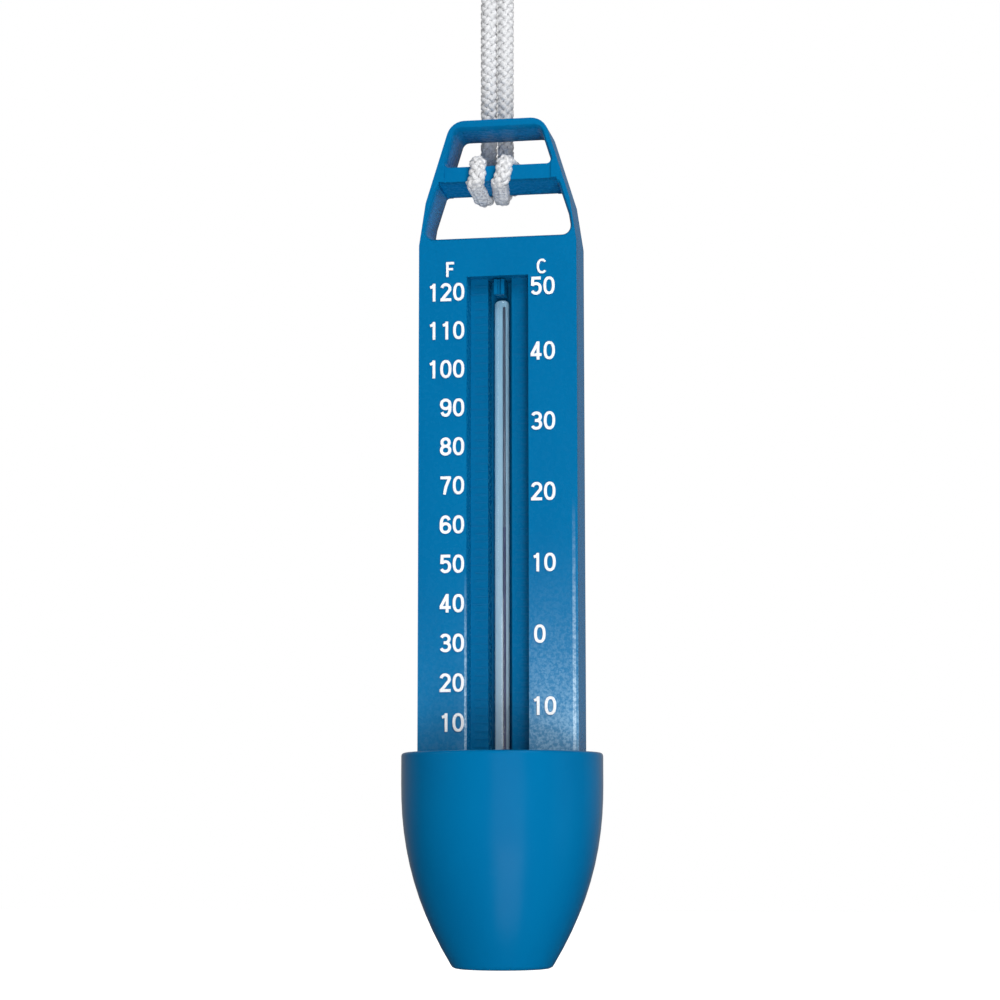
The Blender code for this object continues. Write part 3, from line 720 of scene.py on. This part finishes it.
def glyph_strokes():
    """Centre lines of each sign, in millimetres about its middle; True marks a closed one."""
    w, h = DIGIT_W, DIGIT_H
    zero = [(bow(0, 0, w, h, 0, 360, 2.35, 32)[:-1], True)]
    six = [(bow(0, -0.92, w, 1.18, 0, 360, 2.1, 26)[:-1], True),
           (bow(0, 0, w, h, 32, 180, 2.35, 16) + [(-w, -0.9)], False)]
    nine = [([(-x, -y) for x, y in line], closed) for line, closed in six]
    return {
        "0": zero,
        "1": [([(0.25, -EDGE), (0.25, EDGE)], False), ([(-0.85, 1.42), (-0.2, 1.62), (0.25, 2.1)], False)],
        "2": [(bow(0, 0.98, 1.12, 1.12, 168, -28, 2.1, 14) + [(-1.0, -1.95)], False),
              ([(-1.5, -h), (1.48, -h)], False)],
        "3": [(bow(0, 1.08, 1.08, 1.02, 158, -90, 2.1, 16), False),
              (bow(0, -1.02, w, 1.08, 90, -158, 2.1, 16), False), ([(-0.4, 0.05), (0.2, 0.05)], False)],
        "4": [([(0.5, EDGE), (0.5, -EDGE)], False), ([(0.42, 2.15), (-1.25, -1.0)], False),
              ([(-1.5, -1.12), (1.45, -1.12)], False)],
        "5": [([(-0.95, h), (1.3, h)], False), ([(-0.86, EDGE), (-1.0, 0.0)], False),
              (bow(0, -0.74, w, 1.36, 140, -152, 2.1, 18), False)],
        "6": six,
        "7": [([(-1.4, h), (1.5, h)], False), ([(1.12, h), (0.1, -0.4), (-0.3, -EDGE)], False)],
        "8": [(bow(0, 1.1, 1.0, 1.0, 0, 360, 2.1, 24)[:-1], True),
              (bow(0, -1.0, w, 1.1, 0, 360, 2.1, 24)[:-1], True)],
        "9": nine,
        "F": [([(-0.95, -EDGE), (-0.95, EDGE)], False), ([(-0.95, h), (1.3, h)], False),
              ([(-0.95, 0.1), (0.95, 0.1)], False)],
        "C": [(bow(0.1, 0, 1.4, h, 42, 318, 2.2, 26), False)],
    }


def stroke_mesh(points, closed, depth):
    """One stroke as a closed flat bar of even width, standing from 0 to depth along -Y."""
    line = [Vector(p) for p in points]
    count = len(line)
    left, right = [], []
    for i, here in enumerate(line):
        before = line[i - 1] if closed or i else None
        after = line[(i + 1) % count] if closed or i < count - 1 else None
        into = (here - before).normalized() if before is not None else None
        out = (after - here).normalized() if after is not None else None
        run = into or out
        if into is not None and out is not None:
            run = (into + out).normalized()
            stretch = 1 / max(0.5, run.dot(into))
        else:
            stretch = 1
        side = Vector((-run.y, run.x)) * STROKE * stretch
        left.append(here + side)
        right.append(here - side)
    bm = bmesh.new()
    low_l, top_l, low_r, top_r = [[bm.verts.new((p.x, y, p.y)) for p in offsets]
                                  for offsets in (left, right) for y in (0, -depth)]
    last = count if closed else count - 1
    for i in range(last):
        j = (i + 1) % count
        for a, b in ((top_l, top_r), (top_r, low_r), (low_r, low_l), (low_l, top_l)):
            bm.faces.new((a[i], a[j], b[j], b[i]))
    if not closed:
        for i in (0, count - 1):
            bm.faces.new((low_l[i], top_l[i], top_r[i], low_r[i]))
    bmesh.ops.recalc_face_normals(bm, faces=bm.faces)
    mesh = bpy.data.meshes.new("stroke")
    bm.to_mesh(mesh)
    bm.free()
    return mesh


def glyph_mesh(strokes, depth):
    """A sign's strokes joined into one solid."""
    objects = []
    for points, closed in strokes:
        made = bpy.data.objects.new("stroke", stroke_mesh(points, closed, depth))
        bpy.context.scene.collection.objects.link(made)
        objects.append(made)
    body = objects[0]
    for other in objects[1:]:
        union = body.modifiers.new("union", "BOOLEAN")
        union.operation = "UNION"
        union.solver = "EXACT"
        union.object = other
    soften = body.modifiers.new("soften", "BEVEL")
    soften.width = 0.09
    soften.segments = 1
    soften.angle_limit = math.radians(40)
    bpy.context.view_layer.update()
    mesh = bpy.data.meshes.new_from_object(body.evaluated_get(bpy.context.evaluated_depsgraph_get()))
    for made in objects:
        bpy.data.objects.remove(made)
    return mesh


def labels(name, words):
    """One piece made of every label of a scale; words are (text, left edge, height, size)."""
    bm = bmesh.new()
    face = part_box("scale_body")[0].y
    for text, left, height, size in words:
        for k, sign in enumerate(text):
            copy = GLYPHS[sign].copy()
            x = left + (k * ADVANCE + DIGIT_W + STROKE) * size
            move = (Matrix.Translation((x * MM, face + SUNK, up(height)))
                    @ Matrix.Diagonal((size * MM, MM, size * MM, 1)))
            copy.transform(move)
            bm.from_mesh(copy)
            bpy.data.meshes.remove(copy)
    mesh = bpy.data.meshes.new(name)
    bm.to_mesh(mesh)
    bm.free()
    mesh.materials.append(PAINT)
    made = bpy.data.objects.new(name, mesh)
    bpy.context.scene.collection.objects.link(made)
    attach(made, "root")


SCALE_ZERO, SCALE_STEP = 54.26, 1.065          # height of 0 F, and of each degree
UNIT_SIZE = 0.82                   # size of the letters over the scales, against the numerals
F_RIGHT = -9.1                     # x where the Fahrenheit numerals end
C_LEFT, C_LEFT_ZERO = 9.15, 9.9    # x where the Celsius numerals and their lone 0 start


def mark(fahrenheit):
    """Height of a degree mark above the cup's base, in millimetres."""
    return SCALE_ZERO + SCALE_STEP * fahrenheit


def as_fahrenheit(celsius):
    return 1.8 * celsius + 32


GLYPHS = {sign: glyph_mesh(strokes, RAISED) for sign, strokes in glyph_strokes().items()}


def numerals():
    """Numerals every ten degrees, right-aligned for Fahrenheit, and a letter over each scale."""
    fahrenheit = []
    for degrees in range(10, 121, 10):
        text = str(degrees)
        width = (len(text) - 1) * ADVANCE + 2 * (DIGIT_W + STROKE)
        fahrenheit.append((text, F_RIGHT - width, mark(degrees), 1.0))
    fahrenheit.append(("F", -14.3, 188.35, UNIT_SIZE))
    celsius = []
    for degrees in range(-10, 41, 10):
        left = C_LEFT if degrees else C_LEFT_ZERO
        celsius.append((str(abs(degrees)), left, mark(as_fahrenheit(degrees)), 1.0))
    celsius.append(("50", C_LEFT, 182.9, 1.0))
    celsius.append(("C", 11.0, 188.3, UNIT_SIZE))
    labels("numerals_fahrenheit", fahrenheit)
    labels("numerals_celsius", celsius)


numerals()


# ---------------------------------------------------------------- scale marks

LEDGE_Y = -3.0                     # floor of the recess beside the groove
LEDGE_IN, LEDGE_OUT = 3.25, 8.0    # x of the groove's edge and of the recess's edge
F_LONG, F_SHORT = 4.6, 3.6         # how far the marks reach out from the groove
C_LONG, C_EVEN, C_ODD = 4.2, 3.2, 2.4          # how far they reach in from the recess's edge


def tick_bar(bm, x0, x1, height, tall, proud):
    """A low raised mark with a rounded front."""
    sections = [(0.0, -tall), (-proud * 0.7, -tall * 0.75), (-proud, 0), (-proud * 0.7, tall * 0.75),
                (0.0, tall)]
    ends = [[bm.verts.new((x * MM, (LEDGE_Y + 0.02 + y) * MM, up(height + z))) for y, z in sections]
            for x in (x0, x1)]
    for i in range(len(sections)):
        j = (i + 1) % len(sections)
        bm.faces.new((ends[0][i], ends[0][j], ends[1][j], ends[1][i]))
    bm.faces.new(ends[0])
    bm.faces.new(list(reversed(ends[1])))


def ticks():
    """Fahrenheit marks every two degrees on the left ledge, Celsius marks every degree on the right."""
    bm = bmesh.new()
    for degrees in range(0, 123, 2):
        reach = F_SHORT if degrees % 10 else F_LONG
        tick_bar(bm, -LEDGE_IN - reach, -LEDGE_IN - 0.1, mark(degrees), 0.34, 0.09)
    for degrees in range(-17, 52):
        reach = C_ODD if degrees % 2 else C_EVEN if degrees % 10 else C_LONG
        tick_bar(bm, LEDGE_OUT - reach, LEDGE_OUT - 0.15, mark(as_fahrenheit(degrees)), 0.24, 0.06)
    bmesh.ops.recalc_face_normals(bm, faces=bm.faces)
    mesh = bpy.data.meshes.new("scale_marks")
    bm.to_mesh(mesh)
    bm.free()
    mesh.materials.append(TICK_SHADED)
    made = bpy.data.objects.new("scale_marks", mesh)
    bpy.context.scene.collection.objects.link(made)
    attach(made, "root")


ticks()


# ---------------------------------------------------------------- thermometer tube

def turned(name, profile, sides, mat, centre=(0, 0)):
    """A profile of (radius, z) points turned about a vertical axis."""
    n = len(profile)
    verts, faces = [], []
    for k in range(sides):
        a = 2 * math.pi * k / sides
        verts += [(centre[0] + r * math.cos(a), centre[1] + r * math.sin(a), z) for r, z in profile]
        here, following = k * n, (k + 1) % sides * n
        faces += [(here + i, following + i, following + i + 1, here + i + 1) for i in range(n - 1)]
    return mesh_object(name, verts, faces, mat)


def tube():
    """The glass: flattened dome above, half ball below. Gives its lowest and highest z and its radius."""
    low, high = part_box("glass_tube")
    radius = (high.x - low.x) / 2
    dome, foot = [], []
    for degrees in range(0, 91, 15):
        a = math.radians(90 - degrees)
        dome.append((max(TINY, radius * math.cos(a)), high.z - radius * 0.8 * (1 - math.sin(a))))
        a = math.radians(-degrees)
        foot.append((max(TINY, radius * math.cos(a)), low.z + radius * (1 + math.sin(a))))
    made = turned("thermometer_tube", dome + foot, 40, GLASS)
    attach(made, "root")
    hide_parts("glass_tube")
    return low.z, high.z, radius


TUBE_BOTTOM, TUBE_TOP, TUBE_R = tube()
STRIP_GAP, STRIP_THICK = 0.12 * MM, 0.2 * MM   # between backing and glass, and through the backing
STRIP_COLUMNS = 12
STRIP_CROWN = 0.9 * MM             # how far the rounded top falls at its sides
LINE_PLACE = (0.78 * MM, -0.35 * MM)           # the glass shows the bore off its middle
BORE_BEHIND = 0.03 * MM
BORE_R, LINE_R = 0.36 * MM, 0.40 * MM


def enamel_strip(low, high):
    """Backing as wide as the tube, bowed towards the front, with a rounded top."""
    half = TUBE_R - STRIP_GAP
    verts, faces = [], []
    for k in range(STRIP_COLUMNS + 1):
        across = 2 * k / STRIP_COLUMNS - 1
        x, y = half * across, 0.10 * MM + 0.42 * MM * across ** 2
        crest = high - STRIP_CROWN * (1 - math.sqrt(max(0.0, 1 - across ** 2)))
        verts += [(x, y, low), (x, y, crest), (x, y + STRIP_THICK, crest), (x, y + STRIP_THICK, low)]
    for k in range(STRIP_COLUMNS):
        a, b = 4 * k, 4 * k + 4
        faces += [(a, b, b + 1, a + 1), (a + 1, b + 1, b + 2, a + 2), (a + 2, b + 2, b + 3, a + 3),
                  (a + 3, b + 3, b, a)]
    faces += [(0, 1, 2, 3), tuple(4 * STRIP_COLUMNS + i for i in (3, 2, 1, 0))]
    return mesh_object("tube_backing", verts, faces, ENAMEL, False)


def tube_inside():
    """Enamel backing, the empty bore, and the spirit column with its meniscus."""
    low, high = TUBE_BOTTOM + 11 * MM, TUBE_TOP - 0.5 * MM
    backing = enamel_strip(low, high)
    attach(backing, "root")

    column_low, column_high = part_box("spirit_column")
    crown_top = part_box("spirit_meniscus")[1].z
    tip = high - 2 * MM
    bore = turned("tube_bore", [(TINY, tip), (BORE_R, tip), (BORE_R, column_low.z), (TINY, column_low.z)],
                  16, BORE, (LINE_PLACE[0], LINE_PLACE[1] + BORE_BEHIND))
    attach(bore, "root")
    column = turned("spirit_line", [(LINE_R, column_high.z), (LINE_R, column_low.z)], 16, SPIRIT,
                    LINE_PLACE)
    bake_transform(column)
    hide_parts("spirit_column")
    crown = [(TINY, crown_top), (LINE_R * 0.5, crown_top - 0.05 * MM), (LINE_R * 0.85, crown_top - 0.2 * MM),
             (LINE_R, crown_top - 0.4 * MM), (LINE_R, column_high.z - 0.1 * MM)]
    meniscus = turned("spirit_crown", crown, 16, SPIRIT, LINE_PLACE)
    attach(meniscus, "spirit_level")
    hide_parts("spirit_meniscus")


tube_inside()


# ---------------------------------------------------------------- stage and light

def area_light(name, place, aim, size, power):
    """A rectangular light that the camera doesn't see."""
    data = bpy.data.lights.new(name, "AREA")
    data.shape = "RECTANGLE"
    data.size, data.size_y = size
    data.energy = power
    made = bpy.data.objects.new(name, data)
    made.location = place
    made.rotation_euler = (Vector(aim) - Vector(place)).to_track_quat("-Z", "Y").to_euler()
    made.visible_camera = False
    bpy.context.scene.collection.objects.link(made)


def stage():
    """A white floor well below the hanging thermometer, which takes no part in lighting it."""
    bpy.ops.mesh.primitive_plane_add(size=12, location=(0, 0, BASE - 0.16))
    floor = bpy.context.object
    floor.name = "studio_floor"
    mat = material("floor_paper", (0.93, 0.93, 0.93), 0.9, Specular_IOR_Level=0.1,
                   Emission_Color=(1, 1, 1, 1), Emission_Strength=1.1)
    floor.data.materials.append(mat)
    floor.visible_diffuse = False
    floor.visible_glossy = False
    floor.visible_shadow = False


def world():
    """White to the eye; as a light, dim in front of the object and below it."""
    made = bpy.data.worlds.new("studio")
    bpy.context.scene.world = made
    made.use_nodes = True
    made.node_tree.nodes.clear()
    _, y, z = axes(made, "Generated")
    dimmed = product(made, remapped(made, y, -0.9, 0.5, 0.03, 0.33), remapped(made, z, -0.2, 0.0, 0.1, 1.0))
    light = node(made, "ShaderNodeBackground")
    link(made, dimmed, light.inputs["Strength"])
    seen = node(made, "ShaderNodeBackground", Color=(1, 1, 1, 1), Strength=1.0)
    camera_ray = node(made, "ShaderNodeLightPath").outputs["Is Camera Ray"]
    mix = node(made, "ShaderNodeMixShader")
    for socket, source in enumerate((camera_ray, light.outputs["Background"], seen.outputs["Background"])):
        link(made, source, mix.inputs[socket])
    link(made, mix.outputs["Shader"], node(made, "ShaderNodeOutputWorld").inputs["Surface"])


stage()
world()
for light in (                     # name, place, what it is aimed at, size, watts
    ("key", (0.55, -0.75, 0.75), (0, 0, -0.05), (0.6, 0.6), 10.2),
    ("fill_left", (-0.9, -0.5, 0.35), (0, 0, -0.05), (0.6, 0.8), 2.5),
    ("side_right", (0.55, -0.085, up(0)), (0, 0, up(60)), (0.25, 0.30), 0.15),
    ("low_front", (0.30, -1.0, up(-150)), (0, 0, up(150)), (0.7, 0.7), 5.9),
    ("below_front", (0.35, -1.0, up(-750)), (0, 0, up(150)), (0.7, 0.7), 9),
):
    area_light(*light)
bpy.context.scene.view_settings.view_transform = "Standard"
